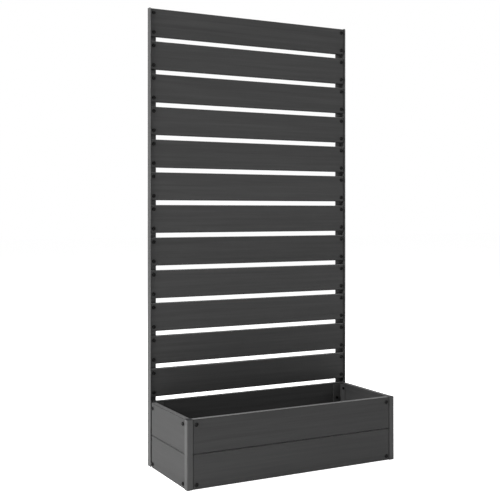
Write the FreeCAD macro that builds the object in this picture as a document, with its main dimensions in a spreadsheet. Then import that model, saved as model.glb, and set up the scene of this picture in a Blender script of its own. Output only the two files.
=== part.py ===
import FreeCAD, Part
import os
import re
import Sketcher

# Raised garden bed: a planting trough of hollow composite planks with a tall slatted screen at its rear.
# Millimetres. X runs along the bed, Y from front to rear and Z up. The origin is on the ground at mid bed.

DRIVING_SIZES = {
    # Whole bed
    "overall_width": 914,
    "overall_depth": 381,
    "ground_clearance": 1,
    "top_reveal": 2,
    # Hollow composite boards
    "board_thickness": 20,
    "board_wall": 4,
    "board_web": 3,
    "chamber_count": 4,
    "board_rounding": 3,
    "board_recess": 1,
    # Screen slats
    "slat_height": 110.5,
    "slat_gap": 18.4,
    "slat_count": 12,
    "slat_end_gap": 1,
    "slat_bolt_end_inset": 14,
    "slat_bolt_edge_inset": 17,
    # Trough planks, joined by tongue and groove
    "plank_height": 125.5,
    "plank_joint_gap": 2,
    "plank_end_gap": 2,
    "plank_rounding": 1.5,
    "plank_bolt_end_inset": 13,
    "plank_bolt_top_inset": 20,
    "plank_bolt_foot_inset": 16,
    "tongue_height": 7,
    "tongue_thickness": 6,
    "groove_clearance": 0.3,
    "groove_land": 5,
    # Metal posts, brackets and rails
    "metal_wall": 2,
    "rear_flange_width": 34,
    "rear_post_reveal": 7,
    "rear_post_rounding": 8,
    "corner_flange_width": 25,
    "corner_rounding": 4,
    "bracket_edge_margin": 15,
    "bracket_end_inset": 6,
    "rail_leg": 25,
    "rail_end_gap": 3,
    # Caps of the hollow front posts
    "cap_thickness": 2,
    "cap_plug_depth": 10,
    "cap_plug_clearance": 0.3,
    # Base boards
    "base_board_count": 7,
    "base_board_gap": 15,
    "base_board_clearance": 2,
    # Bolts and nuts
    "bolt_diameter": 6,
    "bolt_hole_clearance": 0.6,
    "bolt_head_diameter": 15,
    "bolt_head_height": 5.5,
    "bolt_head_rounding": 4.5,
    "bolt_head_clearance": 0.5,
    "bolt_end_projection": 1.5,
    "socket_width": 5,
    "socket_depth": 2,
    "nut_width": 10,
    "nut_height": 5,
    "nut_bore_clearance": 0.3,
    "side_plank_head_clearance": 10.5,
    "bracket_head_clearance": 1.5,
    # Rail screws
    "rail_screw_count": 4,
    "rail_screw_diameter": 4,
    "rail_screw_hole_clearance": 0.4,
    "rail_screw_reach": 11,
    "rail_screw_tip_room": 1,
    "rail_screw_head_diameter": 8,
    "rail_screw_head_height": 2.4,
    "rail_screw_head_rounding": 1.6,
    "rail_screw_socket_width": 2.5,
    "rail_screw_socket_depth": 1.2,
}

# Sizes and places that follow from the driving ones, written as formulas of their names
POST_DEPTH = "(board_thickness + metal_wall + board_recess)"
REAR_POST_DEPTH = "(board_thickness + metal_wall + rear_post_reveal)"
BOX_HEIGHT = "(ground_clearance + 2 * plank_height + plank_joint_gap)"
SLAT_PITCH = "(slat_height + slat_gap)"
SCREEN_HEIGHT = f"({BOX_HEIGHT} + slat_count * {SLAT_PITCH} + top_reveal)"
REAR_BOARD_LENGTH = "(overall_width - 2 * (metal_wall + slat_end_gap))"
REAR_BOARD_FACE = "(overall_depth / 2 - metal_wall - board_thickness)"
FRONT_BOARD_FACE = "(board_recess - overall_depth / 2)"
SIDE_BOARD_FACE = "(overall_width / 2 - board_recess)"
SIDE_BOARD_INSIDE = f"({SIDE_BOARD_FACE} - board_thickness)"
FRONT_BOARD_INSIDE = f"({FRONT_BOARD_FACE} + board_thickness)"
FRONT_PLANK_LENGTH = f"(overall_width - 2 * ({POST_DEPTH} + plank_end_gap))"
SIDE_PLANK_FRONT = f"({POST_DEPTH} + plank_end_gap - overall_depth / 2)"
SIDE_PLANK_REAR = f"({REAR_BOARD_FACE} - bolt_head_height - side_plank_head_clearance)"
SIDE_PLANK_LENGTH = f"({SIDE_PLANK_REAR} - {SIDE_PLANK_FRONT})"
BOLT_HOLE = "(bolt_diameter + bolt_hole_clearance)"
BOLT_GRIP = "(board_thickness + metal_wall)"
POST_BOLT_INSET = "(board_recess + board_thickness - bolt_head_diameter / 2 - bolt_head_clearance)"
SLAT_BOLT_INSET = "(metal_wall + slat_end_gap + slat_bolt_end_inset)"
BRACKET_BOLT_INSET = "(rear_flange_width + bolt_head_diameter / 2 + bracket_head_clearance)"
BRACKET_BOLT_OFFSET = f"({BRACKET_BOLT_INSET} - board_recess - board_thickness)"
BRACKET_LEG = f"({BRACKET_BOLT_OFFSET} + bracket_edge_margin)"
UPPER_PLANK_FOOT = "(ground_clearance + plank_height + plank_joint_gap)"
GROOVE_DEPTH = "(tongue_height - plank_joint_gap + groove_clearance)"
LOWER_BOLT_HEIGHT = "(ground_clearance + plank_bolt_foot_inset)"
UPPER_BOLT_HEIGHT = f"({BOX_HEIGHT} - plank_bolt_top_inset)"
BASE_HEIGHT = f"({LOWER_BOLT_HEIGHT} + nut_width)"
RAIL_LENGTH = f"(2 * ({SIDE_BOARD_INSIDE} - {BRACKET_LEG} - rail_end_gap))"
RAIL_SCREW_HOLE = "(rail_screw_diameter + rail_screw_hole_clearance)"
BASE_ROW_WIDTH = f"(2 * ({SIDE_BOARD_INSIDE} - metal_wall - base_board_clearance))"
BASE_BOARD_WIDTH = f"(({BASE_ROW_WIDTH} - (base_board_count - 1) * base_board_gap) / base_board_count)"
TROUGH_DEPTH = f"({REAR_BOARD_FACE} - {FRONT_BOARD_INSIDE})"
BASE_BOARD_LENGTH = f"({TROUGH_DEPTH} - 2 * (metal_wall + base_board_clearance))"
PLUG_INSET = "(metal_wall + cap_plug_clearance)"

LEFT = -1
RIGHT = 1
MATCH_TOLERANCE = 1e-6
HEX_CORNER_ANGLES = range(0, 360, 60)
ALONG_BED = FreeCAD.Rotation()
LEFT_SIDE_TURN = FreeCAD.Rotation(FreeCAD.Vector(0, 0, 1), -90)
RIGHT_SIDE_TURN = FreeCAD.Rotation(FreeCAD.Vector(0, 0, 1), 90)
LAID_FLAT_ACROSS = FreeCAD.Rotation(FreeCAD.Vector(1, 1, 1), 120)

doc = FreeCAD.newDocument("raised_garden_bed")
sheet = doc.addObject("Spreadsheet::Sheet", "sizes")
for row, (alias, amount) in enumerate(DRIVING_SIZES.items(), start=1):
    sheet.set(f"A{row}", alias)
    sheet.set(f"B{row}", str(amount))
    sheet.setAlias(f"B{row}", alias)
doc.recompute()

pieces = []


def linked(formula):
    """The formula with every named size pointed at its cell in the sheet."""
    return re.sub(r"[a-z_]+", lambda word: point_at_cell(word.group()), formula)


def point_at_cell(word):
    """The sheet reference of a named size; any other word stays as it is."""
    return f"sizes.{word}" if word in DRIVING_SIZES else word


def number(formula):
    """The present value of a formula."""
    return float(sheet.evalExpression(linked(formula)))


def new_body(label):
    """An empty body that becomes the sub-part of that name."""
    body = doc.addObject("PartDesign::Body", label)
    body.Label = label
    return body


def new_sketch(body, role, name, lift="0"):
    """A sketch on one of the body's origin planes, lifted along the plane's normal."""
    plane = next(item for item in body.Origin.OriginFeatures if item.Role == role)
    sketch = body.newObject("Sketcher::SketchObject", f"{body.Label}_{name}")
    sketch.AttachmentSupport = [(plane, "")]
    sketch.MapMode = "FlatFace"
    sketch.setExpression("AttachmentOffset.Base.z", linked(lift))
    return sketch


def tie_point(sketch, geometry, end, x, y):
    """Holds a point of the sketch at the place that two formulas give."""
    for kind, formula in (("DistanceX", x), ("DistanceY", y)):
        index = sketch.addConstraint(Sketcher.Constraint(kind, -1, 1, geometry, end, number(formula)))
        sketch.setExpression(f"Constraints[{index}]", linked(formula))


def draw_outline(sketch, corners):
    """A closed outline of straight lines through corners that are pairs of formulas."""
    first = sketch.GeometryCount
    points = [FreeCAD.Vector(number(x), number(y), 0) for x, y in corners]
    for start, end in zip(points, points[1:] + points[:1]):
        sketch.addGeometry(Part.LineSegment(start, end), False)
    for place, (x, y) in enumerate(corners):
        following = first + (place + 1) % len(corners)
        sketch.addConstraint(Sketcher.Constraint("Coincident", first + place, 2, following, 1))
        tie_point(sketch, first + place, 1, x, y)


def draw_rectangle(sketch, x_low, y_low, x_high, y_high):
    """A rectangle between two opposite corners."""
    draw_outline(sketch, [(x_low, y_low), (x_high, y_low), (x_high, y_high), (x_low, y_high)])


def draw_circle(sketch, x, y, diameter):
    """A circle tied to its centre and its diameter."""
    centre = FreeCAD.Vector(number(x), number(y), 0)
    circle = sketch.addGeometry(Part.Circle(centre, FreeCAD.Vector(0, 0, 1), number(diameter) / 2), False)
    tie_point(sketch, circle, 3, x, y)
    index = sketch.addConstraint(Sketcher.Constraint("Diameter", circle, number(diameter)))
    sketch.setExpression(f"Constraints[{index}]", linked(diameter))


def draw_hexagon(sketch, width):
    """A hexagon about the origin with the given width across its flats."""
    corner = f"{width} / sqrt(3)"
    draw_outline(sketch, [(f"{corner} * cos({a})", f"{corner} * sin({a})") for a in HEX_CORNER_ANGLES])


def pad(body, sketch, length, backwards=False):
    """Raises a sketch into the body."""
    feature = body.newObject("PartDesign::Pad", f"{sketch.Label}_pad")
    feature.Profile = sketch
    feature.setExpression("Length", linked(length))
    feature.Reversed = backwards
    doc.recompute()
    return feature


def cut(body, sketch, depth=None, backwards=False):
    """Cuts a sketch out of the body, right through where no depth is given."""
    feature = body.newObject("PartDesign::Pocket", f"{sketch.Label}_cut")
    feature.Profile = sketch
    feature.Reversed = backwards
    if depth is None:
        feature.Type = "ThroughAll"
    else:
        feature.setExpression("Length", linked(depth))
    doc.recompute()
    return feature


def round_edges(body, base, chosen, radius, name):
    """Rounds the edges of the base whose both ends satisfy the given test."""
    names = []
    for place, edge in enumerate(base.Shape.Edges, start=1):
        if all(chosen(vertex.Point) for vertex in edge.Vertexes):
            names.append(f"Edge{place}")
    feature = body.newObject("PartDesign::Fillet", f"{body.Label}_{name}")
    feature.Base = (base, names)
    feature.setExpression("Radius", linked(radius))
    doc.recompute()
    return feature


def near(value, targets):
    """Whether a coordinate lies at one of the given places."""
    return any(abs(value - target) < MATCH_TOLERANCE for target in targets)


def place(body, x, y, z, turn=ALONG_BED):
    """Stands a finished body at its place in the bed and counts it as a piece."""
    body.Placement = FreeCAD.Placement(FreeCAD.Vector(), turn)
    for axis, formula in zip("xyz", (x, y, z)):
        body.setExpression(f"Placement.Base.{axis}", linked(formula))
    pieces.append(body)


def hollow_board(label, length, height, foot_wall, head_wall, outline, rounding):
    """An extruded composite board with a row of chambers; its outer face is at y = 0 of its own frame."""
    body = new_body(label)
    section = new_sketch(body, "YZ_Plane", "section")
    draw_outline(section, outline)
    chamber_room = f"({height} - {foot_wall} - {head_wall} - (chamber_count - 1) * board_web)"
    chamber_height = f"({chamber_room} / chamber_count)"
    for chamber in range(int(number("chamber_count"))):
        foot = f"({foot_wall} + {chamber} * ({chamber_height} + board_web))"
        head = f"{foot} + {chamber_height}"
        draw_rectangle(section, "board_wall", foot, "board_thickness - board_wall", head)
    blank = pad(body, section, length)
    faces = (0, number("board_thickness"))
    ends = (0, number(height))
    round_edges(body, blank, lambda p: near(p.y, faces) and near(p.z, ends), rounding, "long_edges")
    return body


def plain_outline(height):
    """A board with four plain edges."""
    return [("0", "0"), ("board_thickness", "0"), ("board_thickness", height), ("0", height)]


def tongued_outline():
    """A lower plank, with a tongue along its top edge."""
    near_side = "(board_thickness - tongue_thickness) / 2"
    far_side = "(board_thickness + tongue_thickness) / 2"
    tip = "plank_height + tongue_height"
    return [("0", "0"), ("board_thickness", "0"), ("board_thickness", "plank_height"),
            (far_side, "plank_height"), (far_side, tip), (near_side, tip), (near_side, "plank_height"),
            ("0", "plank_height")]


def grooved_outline():
    """An upper plank, with a groove along its bottom edge that takes the tongue."""
    near_side = "(board_thickness - tongue_thickness) / 2 - groove_clearance"
    far_side = "(board_thickness + tongue_thickness) / 2 + groove_clearance"
    return [("0", "0"), (near_side, "0"), (near_side, GROOVE_DEPTH), (far_side, GROOVE_DEPTH),
            (far_side, "0"), ("board_thickness", "0"), ("board_thickness", "plank_height"),
            ("0", "plank_height")]


def plank_pair(name, length):
    """The lower and the upper plank of one side of the trough."""
    groove_wall = f"({GROOVE_DEPTH} + groove_land)"
    lower = hollow_board(f"{name}_lower", length, "plank_height", "board_wall", "board_wall",
                         tongued_outline(), "plank_rounding")
    upper = hollow_board(f"{name}_upper", length, "plank_height", groove_wall, "board_wall",
                         grooved_outline(), "plank_rounding")
    return lower, upper


def drill_face(body, name, spots, diameter):
    """Drills round holes right through a board or flange that lies across Y, at places along X and Z."""
    sketch = new_sketch(body, "XZ_Plane", name)
    for x, z in spots:
        draw_circle(sketch, x, z, diameter)
    return cut(body, sketch)


def mirrored(side, formula):
    """A place measured from the left side of the bed, mirrored for the right side."""
    return formula if side == LEFT else f"-({formula})"


def side_name(side):
    """The word for one side of the bed, seen from the front."""
    return "left" if side == LEFT else "right"


# Rear posts: tall metal angles whose rear flange carries the slats and whose side flange covers their ends
def edge_bolt_heights(feet, height):
    """Heights of the two bolts near the edges of each rear board, from the feet of the boards."""
    heights = []
    for foot in feet:
        heights.append(f"{foot} + slat_bolt_edge_inset")
        heights.append(f"{foot} + {height} - slat_bolt_edge_inset")
    return heights


def at_front_top(point):
    """Whether a point lies on the top edge of the side flange that faces the front of the bed."""
    return near(point.y, [0]) and near(point.z, [number(SCREEN_HEIGHT)])


plank_feet = ("ground_clearance", UPPER_PLANK_FOOT)
slat_feet = [f"({BOX_HEIGHT} + slat_gap + {course} * {SLAT_PITCH})"
             for course in range(int(number("slat_count")))]
plank_heights = edge_bolt_heights(plank_feet, "plank_height")
slat_heights = edge_bolt_heights(slat_feet, "slat_height")
rear_bolt_rows = (("rear_plank", POST_BOLT_INSET, plank_heights), ("slat", SLAT_BOLT_INSET, slat_heights))


for side in (LEFT, RIGHT):
    post = new_body(f"rear_post_{side_name(side)}")
    section = new_sketch(post, "XY_Plane", "section")
    inside = f"({REAR_POST_DEPTH} - metal_wall)"
    angle = [("0", "0"), ("metal_wall", "0"), ("metal_wall", inside), ("rear_flange_width", inside),
             ("rear_flange_width", REAR_POST_DEPTH), ("0", REAR_POST_DEPTH)]
    draw_outline(section, [(mirrored(side, x), y) for x, y in angle])
    blank = pad(post, section, SCREEN_HEIGHT)
    round_edges(post, blank, at_front_top, "rear_post_rounding", "front_top_corner")
    for name, inset, heights in rear_bolt_rows:
        drill_face(post, f"{name}_holes", [(mirrored(side, inset), z) for z in heights], BOLT_HOLE)
    place(post, mirrored(side, "-overall_width / 2"), f"overall_depth / 2 - {REAR_POST_DEPTH}", "0")


# Front corner posts: a hollow nose with a rounded outer corner, and a flange behind each of its two planks
def at_outer_corner(point):
    """Whether a point lies on the upright edge that faces the front and the side of the bed."""
    return near(point.x, [0]) and near(point.y, [0])


for side in (LEFT, RIGHT):
    post = new_body(f"front_post_{side_name(side)}")
    section = new_sketch(post, "XY_Plane", "section")
    inside = f"({POST_DEPTH} - metal_wall)"
    flange_end = f"({POST_DEPTH} + corner_flange_width)"
    corner = [("0", "0"), (POST_DEPTH, "0"), (POST_DEPTH, inside), (flange_end, inside),
              (flange_end, POST_DEPTH), (POST_DEPTH, POST_DEPTH), (POST_DEPTH, flange_end),
              (inside, flange_end), (inside, POST_DEPTH), ("0", POST_DEPTH)]
    draw_outline(section, [(mirrored(side, x), y) for x, y in corner])
    draw_rectangle(section, mirrored(side, "metal_wall"), "metal_wall", mirrored(side, inside), inside)
    blank = pad(post, section, f"{BOX_HEIGHT} - 2 * cap_thickness")
    round_edges(post, blank, at_outer_corner, "corner_rounding", "outer_corner")
    bolt_spot = f"({POST_DEPTH} + plank_end_gap + plank_bolt_end_inset)"
    bolt_heights = (f"{LOWER_BOLT_HEIGHT} - cap_thickness", f"{UPPER_BOLT_HEIGHT} - cap_thickness")
    drill_face(post, "front_bolt_holes", [(mirrored(side, bolt_spot), z) for z in bolt_heights], BOLT_HOLE)
    side_holes = new_sketch(post, "YZ_Plane", "side_bolt_holes")
    for height in bolt_heights:
        draw_circle(side_holes, bolt_spot, height, BOLT_HOLE)
    cut(post, side_holes, backwards=side == LEFT)
    place(post, mirrored(side, "-overall_width / 2"), "-overall_depth / 2", "cap_thickness")

# Caps pressed into the open ends of the front posts: one closes the top, the other is the foot
for side in (LEFT, RIGHT):
    for name, seat, is_foot in (("foot", "0", True), ("top_cap", f"{BOX_HEIGHT} - cap_thickness", False)):
        cap = new_body(f"front_post_{name}_{side_name(side)}")
        plate = new_sketch(cap, "XY_Plane", "plate")
        draw_rectangle(plate, "0", "0", mirrored(side, POST_DEPTH), POST_DEPTH)
        blank = pad(cap, plate, "cap_thickness")
        round_edges(cap, blank, at_outer_corner, "corner_rounding", "outer_corner")
        plug = new_sketch(cap, "XY_Plane", "plug", lift="cap_thickness" if is_foot else "0")
        far = f"({POST_DEPTH} - {PLUG_INSET})"
        draw_rectangle(plug, mirrored(side, PLUG_INSET), PLUG_INSET, mirrored(side, far), far)
        pad(cap, plug, "cap_plug_depth", backwards=not is_foot)
        place(cap, mirrored(side, "-overall_width / 2"), "-overall_depth / 2", seat)

# Screen slats, bolted to the rear posts from the front, counted from the trough upwards
slat_end_spots = ("slat_bolt_end_inset", f"{REAR_BOARD_LENGTH} - slat_bolt_end_inset")
for course, slat_foot in enumerate(slat_feet, start=1):
    slat = hollow_board(f"screen_slat_{course:02d}", REAR_BOARD_LENGTH, "slat_height", "board_wall",
                        "board_wall", plain_outline("slat_height"), "board_rounding")
    rows = ("slat_bolt_edge_inset", "slat_height - slat_bolt_edge_inset")
    drill_face(slat, "bolt_holes", [(x, z) for x in slat_end_spots for z in rows], BOLT_HOLE)
    place(slat, f"-{REAR_BOARD_LENGTH} / 2", REAR_BOARD_FACE, slat_foot)

# Rear planks: they close the back of the trough in line with the slats, and carry the corner brackets
end_spots = (f"{POST_BOLT_INSET} - metal_wall - slat_end_gap",
             f"{REAR_BOARD_LENGTH} - {POST_BOLT_INSET} + metal_wall + slat_end_gap")
bracket_spots = (f"{BRACKET_BOLT_INSET} - metal_wall - slat_end_gap",
                 f"{REAR_BOARD_LENGTH} - {BRACKET_BOLT_INSET} + metal_wall + slat_end_gap")
rail_screw_spots = [f"{RAIL_LENGTH} * ({2 * i + 1}) / (2 * rail_screw_count)"
                    for i in range(int(number("rail_screw_count")))]
rail_screw_height = f"({BASE_HEIGHT} - rail_leg / 2)"


def drill_for_rail(plank, length):
    """Blind pilot holes for the rail's screws in the inner face of a lower plank."""
    at_front = plank.Label.startswith("front")
    pilots = new_sketch(plank, "XZ_Plane", "rail_pilots", lift="-board_thickness" if at_front else "0")
    for spot in rail_screw_spots:
        start = f"({length} - {RAIL_LENGTH}) / 2"
        draw_circle(pilots, f"{start} + {spot}", f"{rail_screw_height} - ground_clearance", RAIL_SCREW_HOLE)
    cut(plank, pilots, "rail_screw_reach + rail_screw_tip_room", backwards=at_front)


rear_pair = plank_pair("rear_plank", REAR_BOARD_LENGTH)
for plank, foot in zip(rear_pair, plank_feet):
    rows = ("slat_bolt_edge_inset", "plank_height - slat_bolt_edge_inset")
    spots = [(x, z) for x in end_spots for z in rows]
    spots += [(x, "plank_height / 2") for x in bracket_spots]
    drill_face(plank, "bolt_holes", spots, BOLT_HOLE)
    place(plank, f"-{REAR_BOARD_LENGTH} / 2", REAR_BOARD_FACE, foot)
drill_for_rail(rear_pair[0], REAR_BOARD_LENGTH)

# Front planks, bolted to the flanges of the corner posts
bolt_rows = ("plank_bolt_foot_inset", "plank_height - plank_bolt_top_inset")


def drill_ends(plank, length, bolt_row):
    """One bolt hole near each end of a plank."""
    end_places = ("plank_bolt_end_inset", f"{length} - plank_bolt_end_inset")
    drill_face(plank, "bolt_holes", [(x, bolt_row) for x in end_places], BOLT_HOLE)


front_pair = plank_pair("front_plank", FRONT_PLANK_LENGTH)
for plank, foot, bolt_row in zip(front_pair, plank_feet, bolt_rows):
    drill_ends(plank, FRONT_PLANK_LENGTH, bolt_row)
    place(plank, f"-{FRONT_PLANK_LENGTH} / 2", FRONT_BOARD_FACE, foot)
drill_for_rail(front_pair[0], FRONT_PLANK_LENGTH)

# Side planks, bolted to the corner posts in front and to the inner brackets behind
side_turns = ((LEFT, LEFT_SIDE_TURN, SIDE_PLANK_REAR), (RIGHT, RIGHT_SIDE_TURN, SIDE_PLANK_FRONT))
for side, turn, near_end in side_turns:
    pair = plank_pair(f"{side_name(side)}_plank", SIDE_PLANK_LENGTH)
    for plank, foot, bolt_row in zip(pair, plank_feet, bolt_rows):
        drill_ends(plank, SIDE_PLANK_LENGTH, bolt_row)
        place(plank, mirrored(side, f"-{SIDE_BOARD_FACE}"), near_end, foot, turn)

# Inner brackets: metal angles in the rear corners of the trough that tie the side planks to the rear planks
side_bolt_from_corner = f"({REAR_BOARD_FACE} - {SIDE_PLANK_REAR} + plank_bolt_end_inset)"
for side in (LEFT, RIGHT):
    bracket = new_body(f"corner_bracket_{side_name(side)}")
    section = new_sketch(bracket, "XY_Plane", "section")
    angle = [("0", "0"), ("0", f"-{BRACKET_LEG}"), ("metal_wall", f"-{BRACKET_LEG}"),
             ("metal_wall", "-metal_wall"), (BRACKET_LEG, "-metal_wall"), (BRACKET_LEG, "0")]
    draw_outline(section, [(mirrored(side, x), y) for x, y in angle])
    pad(bracket, section, f"{BOX_HEIGHT} - ground_clearance - 2 * bracket_end_inset")
    foot = "(ground_clearance + bracket_end_inset)"
    rear_holes = new_sketch(bracket, "XZ_Plane", "rear_bolt_holes")
    for plank_foot in plank_feet:
        middle = f"{plank_foot} + plank_height / 2 - {foot}"
        draw_circle(rear_holes, mirrored(side, BRACKET_BOLT_OFFSET), middle, BOLT_HOLE)
    cut(bracket, rear_holes, backwards=True)
    side_holes = new_sketch(bracket, "YZ_Plane", "side_bolt_holes")
    for height in (LOWER_BOLT_HEIGHT, UPPER_BOLT_HEIGHT):
        draw_circle(side_holes, f"-{side_bolt_from_corner}", f"{height} - {foot}", BOLT_HOLE)
    cut(bracket, side_holes, backwards=side == LEFT)
    place(bracket, mirrored(side, f"-{SIDE_BOARD_INSIDE}"), REAR_BOARD_FACE, foot)

# Base rails: metal angles screwed to the lower front and rear planks; the base boards lie on them
for name, face, inward in (("front", FRONT_BOARD_INSIDE, ""), ("rear", REAR_BOARD_FACE, "-")):
    rail = new_body(f"base_rail_{name}")
    section = new_sketch(rail, "YZ_Plane", "section")
    draw_outline(section, [("0", "0"), ("0", "-rail_leg"), (f"{inward}metal_wall", "-rail_leg"),
                           (f"{inward}metal_wall", "-metal_wall"), (f"{inward}rail_leg", "-metal_wall"),
                           (f"{inward}rail_leg", "0")])
    pad(rail, section, RAIL_LENGTH)
    holes = new_sketch(rail, "XZ_Plane", "screw_holes")
    for spot in rail_screw_spots:
        draw_circle(holes, spot, "-rail_leg / 2", RAIL_SCREW_HOLE)
    cut(rail, holes, backwards=name == "rear")
    place(rail, f"-{RAIL_LENGTH} / 2", face, BASE_HEIGHT)

# Base boards: short hollow boards laid across the rails, with gaps between them that drain the trough
base_board_front = f"{FRONT_BOARD_INSIDE} + metal_wall + base_board_clearance"
for row in range(int(number("base_board_count"))):
    board = hollow_board(f"base_board_{row + 1}", BASE_BOARD_LENGTH, BASE_BOARD_WIDTH, "board_wall",
                         "board_wall", plain_outline(BASE_BOARD_WIDTH), "board_rounding")
    start = f"{row} * ({BASE_BOARD_WIDTH} + base_board_gap) - {BASE_ROW_WIDTH} / 2"
    place(board, start, base_board_front, BASE_HEIGHT, LAID_FLAT_ACROSS)


# Fasteners: each kind is drawn once, with its seat at the origin and its shank along +Z
def headed_fastener(name, head, socket, diameter, length):
    """A round-headed bolt or screw with a hexagon socket in its head."""
    head_diameter, head_height, rounding = head
    socket_width, socket_depth = socket
    body = new_body(name)
    head_circle = new_sketch(body, "XY_Plane", "head")
    draw_circle(head_circle, "0", "0", head_diameter)
    blank = pad(body, head_circle, head_height, backwards=True)
    round_edges(body, blank, lambda p: near(p.z, [-number(head_height)]), rounding, "head_dome")
    socket_hexagon = new_sketch(body, "XY_Plane", "socket", lift=f"-{head_height}")
    draw_hexagon(socket_hexagon, socket_width)
    cut(body, socket_hexagon, socket_depth, backwards=True)
    shank = new_sketch(body, "XY_Plane", "shank")
    draw_circle(shank, "0", "0", diameter)
    pad(body, shank, length)
    return body


def fastener_group(label, pattern, seats):
    """Copies of one fastener as separate solids: each seat is a place and the way that the shank points."""
    copies = []
    for seat, heading in seats:
        copy = pattern.Shape.Solids[0].copy()
        turn = FreeCAD.Rotation(FreeCAD.Vector(0, 0, 1), heading)
        copy.Placement = FreeCAD.Placement(seat, turn)
        copies.append(copy)
    group = doc.addObject("Part::Feature", label)
    group.Label = label
    group.Shape = Part.makeCompound(copies)
    pieces.append(group)


def bolts_and_nuts(name, seats):
    """A group of bolts, and the nuts at the far side of what each bolt clamps."""
    fastener_group(f"{name}_bolts", bolt, seats)
    far_side = number(BOLT_GRIP)
    fastener_group(f"{name}_nuts", nut, [(seat + heading * far_side, heading) for seat, heading in seats])


bolt = headed_fastener("bolt_pattern", ("bolt_head_diameter", "bolt_head_height", "bolt_head_rounding"),
                       ("socket_width", "socket_depth"), "bolt_diameter",
                       f"{BOLT_GRIP} + nut_height + bolt_end_projection")
rail_screw_head = ("rail_screw_head_diameter", "rail_screw_head_height", "rail_screw_head_rounding")
rail_screw = headed_fastener("rail_screw_pattern", rail_screw_head,
                             ("rail_screw_socket_width", "rail_screw_socket_depth"), "rail_screw_diameter",
                             "metal_wall + rail_screw_reach")
nut = new_body("nut_pattern")
nut_section = new_sketch(nut, "XY_Plane", "section")
draw_hexagon(nut_section, "nut_width")
draw_circle(nut_section, "0", "0", "bolt_diameter + nut_bore_clearance")
pad(nut, nut_section, "nut_height")

REARWARD = FreeCAD.Vector(0, 1, 0)
FORWARD = FreeCAD.Vector(0, -1, 0)
TO_RIGHT = FreeCAD.Vector(1, 0, 0)
TO_LEFT = FreeCAD.Vector(-1, 0, 0)


def spot(x, y, z):
    """A point of the bed, from three formulas."""
    return FreeCAD.Vector(number(x), number(y), number(z))


for name, inset, heights in rear_bolt_rows:
    bolts_and_nuts(name, [(spot(f"{side} * (overall_width / 2 - {inset})", REAR_BOARD_FACE, z), REARWARD)
                          for side in (LEFT, RIGHT) for z in heights])

box_bolt_heights = (LOWER_BOLT_HEIGHT, UPPER_BOLT_HEIGHT)
front_bolt_x = f"({FRONT_PLANK_LENGTH} / 2 - plank_bolt_end_inset)"
bolts_and_nuts("front_plank", [(spot(f"{side} * {front_bolt_x}", FRONT_BOARD_FACE, z), REARWARD)
                               for side in (LEFT, RIGHT) for z in box_bolt_heights])

side_bolt_places = (f"{SIDE_PLANK_FRONT} + plank_bolt_end_inset", f"{SIDE_PLANK_REAR} - plank_bolt_end_inset")
for side, heading in ((LEFT, TO_RIGHT), (RIGHT, TO_LEFT)):
    bolts_and_nuts(f"{side_name(side)}_plank", [(spot(f"{side} * {SIDE_BOARD_FACE}", y, z), heading)
                                                for y in side_bolt_places for z in box_bolt_heights])

bracket_bolt_x = f"(overall_width / 2 - {BRACKET_BOLT_INSET})"
bolts_and_nuts("bracket", [(spot(f"{side} * {bracket_bolt_x}", f"{REAR_BOARD_FACE} + board_thickness",
                                 f"{foot} + plank_height / 2"), FORWARD)
                           for side in (LEFT, RIGHT) for foot in plank_feet])

rail_faces = ((f"{FRONT_BOARD_INSIDE} + metal_wall", FORWARD), (f"{REAR_BOARD_FACE} - metal_wall", REARWARD))
fastener_group("rail_screws", rail_screw, [(spot(f"{x} - {RAIL_LENGTH} / 2", y, rail_screw_height), heading)
                                           for y, heading in rail_faces for x in rail_screw_spots])

# Every feature has to be sound, and every cut has to take something away, before a file is written
doc.recompute()
for item in doc.Objects:
    if "Invalid" in item.State or "Error" in item.State:
        raise RuntimeError(f"{item.Label} failed")
    if item.TypeId == "PartDesign::Pocket" and item.Shape.Volume >= item.BaseFeature.Shape.Volume:
        raise RuntimeError(f"{item.Label} cuts nothing")
for piece in pieces:
    if piece.Shape.isNull() or not piece.Shape.isValid() or not piece.Shape.Solids:
        raise RuntimeError(f"{piece.Label} is not a sound solid")

os.makedirs("parts", exist_ok=True)
for piece in pieces:
    piece.Shape.exportStep(f"parts/{piece.Label}.step")
print(len(pieces), "sub-parts,", sum(len(piece.Shape.Solids) for piece in pieces), "solids")
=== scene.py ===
import math

import bpy
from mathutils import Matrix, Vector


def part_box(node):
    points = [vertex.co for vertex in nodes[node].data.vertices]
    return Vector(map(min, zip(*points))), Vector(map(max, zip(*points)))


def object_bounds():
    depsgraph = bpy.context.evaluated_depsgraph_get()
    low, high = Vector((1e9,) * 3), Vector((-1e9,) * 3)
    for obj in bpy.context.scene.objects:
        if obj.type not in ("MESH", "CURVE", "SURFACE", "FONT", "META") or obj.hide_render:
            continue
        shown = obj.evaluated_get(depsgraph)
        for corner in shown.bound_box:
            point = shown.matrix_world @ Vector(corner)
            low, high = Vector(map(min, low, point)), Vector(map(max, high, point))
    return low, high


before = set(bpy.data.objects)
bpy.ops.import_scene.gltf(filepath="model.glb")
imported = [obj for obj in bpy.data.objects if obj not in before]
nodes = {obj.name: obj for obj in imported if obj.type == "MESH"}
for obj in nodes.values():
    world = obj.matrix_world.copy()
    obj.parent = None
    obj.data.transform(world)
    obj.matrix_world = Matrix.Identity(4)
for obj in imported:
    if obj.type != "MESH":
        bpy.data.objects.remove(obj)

cad_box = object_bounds()
bpy.ops.object.select_all(action="DESELECT")


# Rear posts
# Two tall angles folded from sheet metal, one at each rear corner of the bed.
# They carry a satin anthracite powder coat, and every rear board is bolted to their rear flange.
def add_node(tree, kind, values=None, **settings):
    """A shader node with its settings, and with values on its unlinked inputs."""
    made = tree.nodes.new(kind)
    for name, setting in settings.items():
        setattr(made, name, setting)
    for socket, value in (values or {}).items():
        made.inputs[socket].default_value = value
    return made


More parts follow.
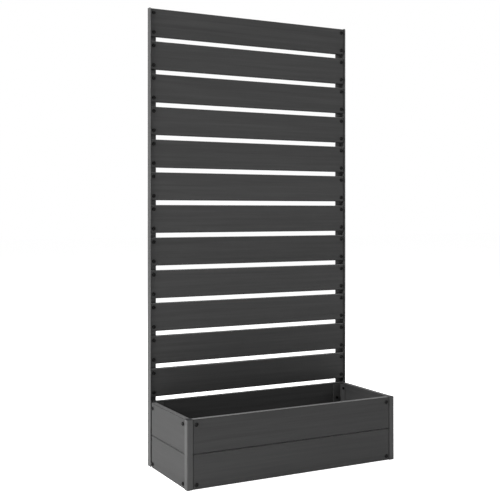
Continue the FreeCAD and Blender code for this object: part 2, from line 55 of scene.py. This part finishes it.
def sum_of(tree, base, parts):
    """A value: the base plus each varying part times its weight."""
    total = None
    for value, weight in parts:
        step = add_node(tree, "ShaderNodeMath", {1: weight, 2: base}, operation="MULTIPLY_ADD")
        tree.links.new(value, step.inputs[0])
        if total is not None:
            tree.links.new(total, step.inputs[2])
        total = step.outputs[0]
    return total


def grey(level):
    """A neutral colour."""
    return level, level, level


def mixed_colour(tree, factor, first, second):
    """A colour between two others; each of the two is a fixed colour or a socket."""
    mix = add_node(tree, "ShaderNodeMix", data_type="RGBA")
    tree.links.new(factor, mix.inputs[0])
    for socket, colour in ((mix.inputs[6], first), (mix.inputs[7], second)):
        if isinstance(colour, bpy.types.NodeSocket):
            tree.links.new(colour, socket)
        else:
            socket.default_value = (*colour, 1)
    return mix.outputs[2]


def new_effect(name, inputs, outputs):
    """An empty node group with named sockets, and the nodes at its two ends."""
    group = bpy.data.node_groups.new(name, "ShaderNodeTree")
    for socket, kind in inputs:
        group.interface.new_socket(socket, in_out="INPUT", socket_type="NodeSocket" + kind)
    for socket, kind in outputs:
        group.interface.new_socket(socket, in_out="OUTPUT", socket_type="NodeSocket" + kind)
    return group, group.nodes.new("NodeGroupInput").outputs, group.nodes.new("NodeGroupOutput").inputs


def place_effect(tree, group, values, vector):
    """A node group set into a material with its own values."""
    made = add_node(tree, "ShaderNodeGroup", node_tree=group)
    for socket, value in values.items():
        made.inputs[socket].default_value = value
    tree.links.new(vector, made.inputs["Vector"])
    return made.outputs


def scaled(tree, vector, factors):
    """A vector stretched by a factor along each axis."""
    stretch = add_node(tree, "ShaderNodeVectorMath", {1: factors}, operation="MULTIPLY")
    tree.links.new(vector, stretch.inputs[0])
    return stretch.outputs[0]


def noise(tree, vector, scale, detail, roughness=0.5):
    """A noise value over the surface."""
    texture = add_node(tree, "ShaderNodeTexNoise",
                       {"Scale": scale, "Detail": detail, "Roughness": roughness})
    tree.links.new(vector, texture.inputs["Vector"])
    return texture.outputs[0]


def ranged(tree, value, low, high, start=0.0, end=1.0):
    """A value brought from one range to another along a smooth step, and held at its ends."""
    step = add_node(tree, "ShaderNodeMapRange", {1: low, 2: high, 3: start, 4: end},
                    interpolation_type="SMOOTHSTEP")
    tree.links.new(value, step.inputs[0])
    return step.outputs[0]


def new_material(name):
    """A material with its shader, its node tree and the place on the object as a vector."""
    material = bpy.data.materials.new(name)
    material.use_nodes = True
    tree = material.node_tree
    place = add_node(tree, "ShaderNodeTexCoord").outputs["Object"]
    return material, tree, tree.nodes["Principled BSDF"].inputs, place


def raise_surface(tree, shader, height, strength, depth):
    """Bump on the shader's normal, with its depth in metres."""
    bump = add_node(tree, "ShaderNodeBump", {"Strength": strength, "Distance": depth})
    tree.links.new(height, bump.inputs["Height"])
    tree.links.new(bump.outputs[0], shader["Normal"])


def finish_nodes(material, names):
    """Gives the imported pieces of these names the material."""
    for name in names:
        nodes[name].data.materials.clear()
        nodes[name].data.materials.append(material)


coat_effect, coat_in, coat_out = new_effect(
    "powder_coat", [("Vector", "Vector")],
    [("Tone", "Float"), ("Gloss", "Float"), ("Height", "Float")])
coat_speck = noise(coat_effect, coat_in["Vector"], 900, 3, 0.6)
coat_cloud = noise(coat_effect, coat_in["Vector"], 9, 3)
coat_effect.links.new(sum_of(coat_effect, 0, [(coat_speck, 0.55), (coat_cloud, 0.45)]), coat_out["Tone"])
coat_effect.links.new(sum_of(coat_effect, 0, [(coat_cloud, 0.6), (coat_speck, 0.4)]), coat_out["Gloss"])
coat_effect.links.new(coat_speck, coat_out["Height"])

# Lighter along the upright edges: a painted edge highlight, broken into patches by noise.
edge_highlight_effect, edge_highlight_in, edge_highlight_out = new_effect(
    "edge_painted_highlight", [("Vector", "Vector"), ("Edge X", "Float"), ("Edge Y", "Float"), ("Reach", "Float")],
    [("Mask", "Float")])
edge_highlight_place = add_node(edge_highlight_effect, "ShaderNodeSeparateXYZ")
edge_highlight_effect.links.new(edge_highlight_in["Vector"], edge_highlight_place.inputs[0])
edge_highlight_side = add_node(edge_highlight_effect, "ShaderNodeMath", operation="ABSOLUTE")
edge_highlight_effect.links.new(edge_highlight_place.outputs[0], edge_highlight_side.inputs[0])
edge_highlight_squares = []
for edge_highlight_value, edge_highlight_edge in ((edge_highlight_side.outputs[0], "Edge X"), (edge_highlight_place.outputs[1], "Edge Y")):
    edge_highlight_gap = add_node(edge_highlight_effect, "ShaderNodeMath", operation="SUBTRACT")
    edge_highlight_effect.links.new(edge_highlight_value, edge_highlight_gap.inputs[0])
    edge_highlight_effect.links.new(edge_highlight_in[edge_highlight_edge], edge_highlight_gap.inputs[1])
    edge_highlight_square = add_node(edge_highlight_effect, "ShaderNodeMath", {1: 2}, operation="POWER")
    edge_highlight_effect.links.new(edge_highlight_gap.outputs[0], edge_highlight_square.inputs[0])
    edge_highlight_squares.append((edge_highlight_square.outputs[0], 1))
edge_highlight_length = add_node(edge_highlight_effect, "ShaderNodeMath", operation="SQRT")
edge_highlight_effect.links.new(sum_of(edge_highlight_effect, 0, edge_highlight_squares), edge_highlight_length.inputs[0])
edge_highlight_near = add_node(edge_highlight_effect, "ShaderNodeMapRange", {1: 0, 3: 1, 4: 0}, interpolation_type="SMOOTHSTEP")
edge_highlight_effect.links.new(edge_highlight_length.outputs[0], edge_highlight_near.inputs[0])
edge_highlight_effect.links.new(edge_highlight_in["Reach"], edge_highlight_near.inputs[2])
edge_highlight_patch = ranged(edge_highlight_effect, noise(edge_highlight_effect, scaled(edge_highlight_effect, edge_highlight_in["Vector"], (90, 90, 22)), 1, 4),
                   0.35, 0.7, 0.25, 1)
edge_highlight_mask = add_node(edge_highlight_effect, "ShaderNodeMath", operation="MULTIPLY")
edge_highlight_effect.links.new(edge_highlight_near.outputs[0], edge_highlight_mask.inputs[0])
edge_highlight_effect.links.new(edge_highlight_patch, edge_highlight_mask.inputs[1])
edge_highlight_effect.links.new(edge_highlight_mask.outputs[0], edge_highlight_out["Mask"])


def coated_metal(name, deep, pale, edge_highlight_colour, edges, reach):
    """Powder coat with a fine texture, and a painted highlight that makes it a little lighter along the
    upright edges given as (x, y).
    """
    material, tree, shader, place = new_material(name)
    coat = place_effect(tree, coat_effect, {}, place)
    colour = mixed_colour(tree, coat["Tone"], deep, pale)
    # Painted edge highlight: each listed edge is mixed toward the lighter colour.
    for edge_x, edge_y in edges:
        edge_highlight_group = place_effect(tree, edge_highlight_effect, {"Edge X": edge_x, "Edge Y": edge_y, "Reach": reach}, place)
        colour = mixed_colour(tree, edge_highlight_group["Mask"], colour, edge_highlight_colour)
    tree.links.new(colour, shader["Base Color"])
    tree.links.new(sum_of(tree, 0.33, [(coat["Gloss"], 0.24)]), shader["Roughness"])
    shader["Specular IOR Level"].default_value = 0.35
    raise_surface(tree, shader, coat["Height"], 0.35, 0.00012)
    return material


rear_low, rear_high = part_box("rear_post_right")
rear_edges = [(rear_high.x, rear_low.y), (rear_high.x, rear_high.y)]
# The same coat as the front posts, painted lighter here as painted light on the rear posts' side faces and on
# their flanges seen between the slats.
rear_coat_painted_lighter = coated_metal("anthracite_coat_rear_posts_painted_lighter", deep=grey(0.045), pale=grey(0.068), edge_highlight_colour=grey(0.09),
                         edges=rear_edges, reach=0.0035)
finish_nodes(rear_coat_painted_lighter, ["rear_post_left", "rear_post_right"])


# Front corner posts and their caps
# Hollow extruded corners with a rounded outer edge, coated like the rear posts.
# A black moulded cap is pressed into each end: the upper closes the tube and the lower is the foot.
front_low, front_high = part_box("front_post_right")
FRONT_EDGE_INSET = 0.0015
front_edges = [(front_high.x - FRONT_EDGE_INSET, front_low.y + FRONT_EDGE_INSET)]
front_coat = coated_metal("anthracite_coat_front_posts", deep=grey(0.038), pale=grey(0.058), edge_highlight_colour=grey(0.06),
                          edges=front_edges, reach=0.004)
finish_nodes(front_coat, ["front_post_left", "front_post_right"])

cap_material, cap_tree, cap_shader, cap_place = new_material("black_moulded_caps")
cap_spark = noise(cap_tree, cap_place, 1500, 2)
cap_cloud = noise(cap_tree, cap_place, 60, 3)
cap_tree.links.new(mixed_colour(cap_tree, cap_cloud, (0.013, 0.013, 0.014), (0.028, 0.028, 0.030)),
                   cap_shader["Base Color"])
cap_tree.links.new(sum_of(cap_tree, 0.42, [(cap_spark, 0.22)]), cap_shader["Roughness"])
raise_surface(cap_tree, cap_shader, cap_spark, 0.3, 0.0001)
finish_nodes(cap_material, [f"front_post_{end}_{side}" for end in ("foot", "top_cap")
                                          for side in ("left", "right")])


# Screen slats
# Twelve hollow boards extruded from charcoal wood-plastic composite, brushed to a fine lengthwise grain.
# Each is bolted through both ends to the rear posts, with a narrow gap to the next.
grain_effect, grain_in, grain_out = new_effect(
    "board_grain", [("Vector", "Vector"), ("First Edge", "Float"), ("Pitch", "Float"), ("Height", "Float")],
    [("Streaks", "Float"), ("Lines", "Float"), ("Shade", "Float"), ("Edge", "Float")])
grain_streaks = noise(grain_effect, scaled(grain_effect, grain_in["Vector"], (2.2, 85, 85)), 1, 5, 0.62)
grain_lines = noise(grain_effect, scaled(grain_effect, grain_in["Vector"], (11, 640, 640)), 1, 3, 0.6)
grain_effect.links.new(grain_streaks, grain_out["Streaks"])
grain_effect.links.new(grain_lines, grain_out["Lines"])
grain_place = add_node(grain_effect, "ShaderNodeSeparateXYZ")
grain_effect.links.new(grain_in["Vector"], grain_place.inputs[0])
grain_rise = add_node(grain_effect, "ShaderNodeMath", operation="SUBTRACT")
grain_effect.links.new(grain_place.outputs[2], grain_rise.inputs[0])
grain_effect.links.new(grain_in["First Edge"], grain_rise.inputs[1])
grain_count = add_node(grain_effect, "ShaderNodeMath", operation="DIVIDE")
grain_effect.links.new(grain_rise.outputs[0], grain_count.inputs[0])
grain_effect.links.new(grain_in["Pitch"], grain_count.inputs[1])
grain_board = add_node(grain_effect, "ShaderNodeMath", operation="FLOOR")
grain_effect.links.new(grain_count.outputs[0], grain_board.inputs[0])
grain_shade = add_node(grain_effect, "ShaderNodeTexWhiteNoise", noise_dimensions="1D")
grain_effect.links.new(grain_board.outputs[0], grain_shade.inputs["W"])
grain_effect.links.new(grain_shade.outputs[0], grain_out["Shade"])
grain_share = add_node(grain_effect, "ShaderNodeMath", operation="MODULO")
grain_effect.links.new(grain_rise.outputs[0], grain_share.inputs[0])
grain_effect.links.new(grain_in["Pitch"], grain_share.inputs[1])
grain_rest = add_node(grain_effect, "ShaderNodeMath", operation="SUBTRACT")
grain_effect.links.new(grain_in["Height"], grain_rest.inputs[0])
grain_effect.links.new(grain_share.outputs[0], grain_rest.inputs[1])
grain_edge = add_node(grain_effect, "ShaderNodeMath", operation="MINIMUM")
grain_effect.links.new(grain_share.outputs[0], grain_edge.inputs[0])
grain_effect.links.new(grain_rest.outputs[0], grain_edge.inputs[1])
grain_effect.links.new(ranged(grain_effect, grain_edge.outputs[0], 0.0, 0.004, 1, 0), grain_out["Edge"])

# Dust and painted top light: faces that look up are lightened in patches, more the more they look up.
dust_light_effect, dust_light_in, dust_light_out = new_effect(
    "dust_and_painted_top_light", [("Vector", "Vector"), ("Facing", "Vector"), ("Least", "Float")], [("Mask", "Float")])
dust_light_facing = add_node(dust_light_effect, "ShaderNodeSeparateXYZ")
dust_light_effect.links.new(dust_light_in["Facing"], dust_light_facing.inputs[0])
dust_light_up = add_node(dust_light_effect, "ShaderNodeMapRange", {2: 1.0, 3: 0, 4: 1}, interpolation_type="SMOOTHSTEP")
dust_light_effect.links.new(dust_light_facing.outputs[2], dust_light_up.inputs[0])
dust_light_effect.links.new(dust_light_in["Least"], dust_light_up.inputs[1])
dust_light_patch = ranged(dust_light_effect, noise(dust_light_effect, dust_light_in["Vector"], 110, 5, 0.65), 0.3, 0.75, 0.6, 1)
dust_light_mask = add_node(dust_light_effect, "ShaderNodeMath", operation="MULTIPLY")
dust_light_effect.links.new(dust_light_up.outputs[0], dust_light_mask.inputs[0])
dust_light_effect.links.new(dust_light_patch, dust_light_mask.inputs[1])
dust_light_effect.links.new(dust_light_mask.outputs[0], dust_light_out["Mask"])


# EDGE_SHADE scales the deep colour for the painted shade along the boards' long edges. The dust colour below
# also serves as painted top light.
EDGE_SHADE = 0.15
DUST_AND_TOP_LIGHT = grey(0.21)


def composite_board(name, deep, pale, turn, board, edge_shade_weight, dust_and_top_light, least=0.55):
    """Brushed composite. The turn lays its grain along X, and board gives the first edge, the pitch and the
    height of the boards. Its long edges get painted shade, as dark as the edge weight says, and its upper
    faces get dust with painted top light, as much as the dust weight says, where they look up by more than
    least."""
    material, tree, shader, place = new_material(name)
    lay = add_node(tree, "ShaderNodeMapping", {"Rotation": [math.radians(angle) for angle in turn]})
    tree.links.new(place, lay.inputs[0])
    first_edge, pitch, height = board
    grain = place_effect(tree, grain_effect, {"First Edge": first_edge, "Pitch": pitch, "Height": height},
                         lay.outputs[0])
    tone = sum_of(tree, -0.45, [(grain["Streaks"], 1.3), (grain["Lines"], 0.45), (grain["Shade"], 0.15)])
    colour = mixed_colour(tree, tone, deep, pale)
    # Painted shade along the long edges of each board.
    painted_edge_shade = add_node(tree, "ShaderNodeMath", {1: edge_shade_weight}, operation="MULTIPLY")
    tree.links.new(grain["Edge"], painted_edge_shade.inputs[0])
    colour = mixed_colour(tree, painted_edge_shade.outputs[0], colour, [EDGE_SHADE * part for part in deep])
    # Dust with painted top light on the faces that look up.
    dust_light_group = add_node(tree, "ShaderNodeGroup", node_tree=dust_light_effect)
    dust_light_group.inputs["Least"].default_value = least
    tree.links.new(place, dust_light_group.inputs["Vector"])
    tree.links.new(add_node(tree, "ShaderNodeNewGeometry").outputs["Normal"], dust_light_group.inputs["Facing"])
    dust_light_amount = add_node(tree, "ShaderNodeMath", {1: dust_and_top_light}, operation="MULTIPLY")
    tree.links.new(dust_light_group.outputs["Mask"], dust_light_amount.inputs[0])
    tree.links.new(mixed_colour(tree, dust_light_amount.outputs[0], colour, DUST_AND_TOP_LIGHT), shader["Base Color"])
    gloss = sum_of(tree, 0.44, [(grain["Streaks"], 0.18), (grain["Lines"], 0.16)])
    tree.links.new(gloss, shader["Roughness"])
    shader["Specular IOR Level"].default_value = 0.35
    relief = sum_of(tree, 0, [(grain["Streaks"], 0.5), (grain["Lines"], 0.5)])
    raise_surface(tree, shader, relief, 0.4, 0.0005)
    return material


slat_names = sorted(name for name in nodes if name.startswith("screen_slat_"))
first_low, first_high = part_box(slat_names[0])
second_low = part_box(slat_names[1])[0]
slat_board = (first_low.z, second_low.z - first_low.z, first_high.z - first_low.z)
LAID_ALONG_X = (0, 0, 0)
# The slats' upper faces and upper rounded edges get painted top light, and their long edges get painted shade.
slat_composite = composite_board("charcoal_composite_slats", deep=grey(0.022), pale=grey(0.050),
                                 turn=LAID_ALONG_X, board=slat_board, edge_shade_weight=0.5, dust_and_top_light=0.9, least=0)
finish_nodes(slat_composite, slat_names)


# Front and rear planks
# Pairs of hollow composite planks joined by tongue and groove, a lower and an upper one.
# The front pair is bolted to the corner posts, and the rear pair closes the trough below the screen.
lower_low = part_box("front_plank_lower")[0]
upper_low, upper_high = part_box("front_plank_upper")
plank_board = (lower_low.z, upper_low.z - lower_low.z, upper_high.z - upper_low.z)
long_composite = composite_board("charcoal_composite_long_planks", deep=grey(0.021), pale=grey(0.0445),
                                 turn=LAID_ALONG_X, board=plank_board, edge_shade_weight=0.55, dust_and_top_light=0.85)
finish_nodes(long_composite, [f"{end}_plank_{course}" for end in ("front", "rear")
                                               for course in ("lower", "upper")])


# Side planks
# Short pairs of the same planks that close the two ends of the trough, with the grain from front to rear.
# They are bolted to the corner posts in front and to inner brackets behind.
LAID_ALONG_Y = (0, 0, -90)
# The side planks' long edges, along the joint, get the strongest painted shade.
side_composite = composite_board("charcoal_composite_side_planks", deep=grey(0.022), pale=grey(0.050),
                                 turn=LAID_ALONG_Y, board=plank_board, edge_shade_weight=1.0, dust_and_top_light=0.6)
finish_nodes(side_composite, [f"{side}_plank_{course}" for side in ("left", "right")
                                               for course in ("lower", "upper")])


# Corner brackets and base rails
# Angles of the same coated sheet inside the trough: the brackets tie the side planks to the rear planks,
# and the rails are screwed along the lower planks to carry the base.
bracket_low, bracket_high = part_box("corner_bracket_right")
bracket_edges = [(bracket_low.x, bracket_high.y)]
fitting_coat = coated_metal("anthracite_coat_fittings", deep=grey(0.040), pale=grey(0.062), edge_highlight_colour=grey(0.095),
                            edges=bracket_edges, reach=0.004)
finish_nodes(fitting_coat, ["corner_bracket_left", "corner_bracket_right",
                                               "base_rail_front", "base_rail_rear"])


# Base boards
# Seven short hollow composite boards laid loose across the two rails as the floor of the trough.
# The gaps between them let water drain.
LAID_FLAT_ALONG_Y = (0, -90, -90)
base_low, base_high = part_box("base_board_1")
next_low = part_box("base_board_2")[0]
base_board = (base_low.x, next_low.x - base_low.x, base_high.x - base_low.x)
base_composite = composite_board("charcoal_composite_base", deep=grey(0.021), pale=grey(0.048),
                                 turn=LAID_FLAT_ALONG_Y, board=base_board, edge_shade_weight=0.4, dust_and_top_light=0.15)
finish_nodes(base_composite, sorted(name for name in nodes if name.startswith("base_board_")))


# Bolts, nuts and screws
# Round-headed steel bolts with a hexagon socket, blackened, with nuts behind the metal,
# and smaller screws of the same kind that hold the base rails.
fastener_material, fastener_tree, fastener_shader, fastener_place = new_material("blackened_steel_fasteners")
fastener_fine = noise(fastener_tree, fastener_place, 700, 3, 0.6)
fastener_cloud = noise(fastener_tree, fastener_place, 120, 4)
fastener_tree.links.new(mixed_colour(fastener_tree, fastener_cloud, grey(0.004), grey(0.009)),
                        fastener_shader["Base Color"])
fastener_tree.links.new(sum_of(fastener_tree, 0.16, [(fastener_cloud, 0.14), (fastener_fine, 0.08)]),
                        fastener_shader["Roughness"])
fastener_shader["Specular IOR Level"].default_value = 0.12
raise_surface(fastener_tree, fastener_shader, fastener_fine, 0.2, 0.00008)
fastener_endings = ("_bolts", "_nuts", "_screws")
finish_nodes(fastener_material,
             sorted(name for name in nodes if name.endswith(fastener_endings)))


# Studio
# A plain white floor and a white surround, a large soft light on the left,
# a broad one above and a weak one in front.
FLOOR_SIDE = 60
bpy.ops.mesh.primitive_plane_add(size=FLOOR_SIDE, location=(0, 0, cad_box[0].z))
floor = bpy.context.object
floor.name = "studio_floor"
bpy.ops.object.transform_apply(location=True, rotation=True, scale=True)
floor_material, floor_tree, floor_shader, floor_place = new_material("white_floor")
floor_cloud = noise(floor_tree, floor_place, 3, 2)
floor_tree.links.new(mixed_colour(floor_tree, floor_cloud, grey(0.90), grey(0.93)),
                     floor_shader["Base Color"])
floor_shader["Roughness"].default_value = 0.9
floor_shader["Specular IOR Level"].default_value = 0.1
floor_shader["Emission Color"].default_value = (1, 1, 1, 1)
GLOW_ON_PIECES, GLOW_SEEN = 0.12, 0.78
floor_glow = add_node(floor_tree, "ShaderNodeMapRange", {3: GLOW_ON_PIECES, 4: GLOW_SEEN})
floor_ray = add_node(floor_tree, "ShaderNodeLightPath")
floor_tree.links.new(floor_ray.outputs["Is Camera Ray"], floor_glow.inputs[0])
floor_tree.links.new(floor_glow.outputs[0], floor_shader["Emission Strength"])
floor.data.materials.append(floor_material)

world = bpy.data.worlds.new("white_surround")
world.use_nodes = True
bpy.context.scene.world = world
surround_tree = world.node_tree
surround_light = surround_tree.nodes["Background"]
surround_light.inputs["Color"].default_value = (1, 1, 1, 1)
BRIGHT_SIDE = (0.465, 0.885, 0)
surround_way = add_node(surround_tree, "ShaderNodeVectorMath", {1: BRIGHT_SIDE}, operation="DOT_PRODUCT")
surround_tree.links.new(add_node(surround_tree, "ShaderNodeTexCoord").outputs["Generated"],
                        surround_way.inputs[0])
surround_tree.links.new(ranged(surround_tree, surround_way.outputs["Value"], -0.3, 0.7, 0.19, 0.3),
                        surround_light.inputs["Strength"])
surround_seen = add_node(surround_tree, "ShaderNodeBackground", {"Color": (1, 1, 1, 1), "Strength": 1.0})
surround_choice = add_node(surround_tree, "ShaderNodeMixShader")
surround_ray = add_node(surround_tree, "ShaderNodeLightPath")
surround_tree.links.new(surround_ray.outputs["Is Camera Ray"], surround_choice.inputs[0])
surround_tree.links.new(surround_light.outputs[0], surround_choice.inputs[1])
surround_tree.links.new(surround_seen.outputs[0], surround_choice.inputs[2])
surround_tree.links.new(surround_choice.outputs[0], surround_tree.nodes["World Output"].inputs["Surface"])


def soft_light(name, place, aim, side, power):
    """A square area light that points at a place."""
    lamp = bpy.data.lights.new(name, "AREA")
    lamp.shape = "SQUARE"
    lamp.size = side
    lamp.energy = power
    light = bpy.data.objects.new(name, lamp)
    bpy.context.scene.collection.objects.link(light)
    light.location = place
    reach = [end - start for start, end in zip(place, aim)]
    light.rotation_euler = (math.atan2(math.hypot(reach[0], reach[1]), -reach[2]), 0,
                            math.atan2(reach[1], reach[0]) - math.pi / 2)


soft_light("left_light", place=(-4.2, -0.2, 2.6), aim=(0, 0, 1.0), side=2.6, power=322)
soft_light("top_light", place=(0, 0.3, 5.2), aim=(0, 0, 0), side=4.0, power=140)
soft_light("front_light", place=(2.6, -4.4, 2.6), aim=(0, 0, 1.1), side=3.0, power=54)

# Camera at the photograph's angle: level, a little above half the height of the screen, left of the middle.
LENS = 66.2
SENSOR_WIDTH = 36
FRAME_SHIFT = -0.0764
EYE = (-1.7978, -3.2035, 1.0003)
TURN = math.radians(27.904)
camera_data = bpy.data.cameras.new("camera")
camera_data.lens = LENS
camera_data.sensor_width = SENSOR_WIDTH
camera_data.shift_y = FRAME_SHIFT
camera = bpy.data.objects.new("camera", camera_data)
camera.location = EYE
camera.rotation_euler = (math.pi / 2, 0, -TURN)
bpy.context.scene.collection.objects.link(camera)
bpy.context.scene.camera = camera
bpy.context.scene.view_settings.view_transform = "Standard"
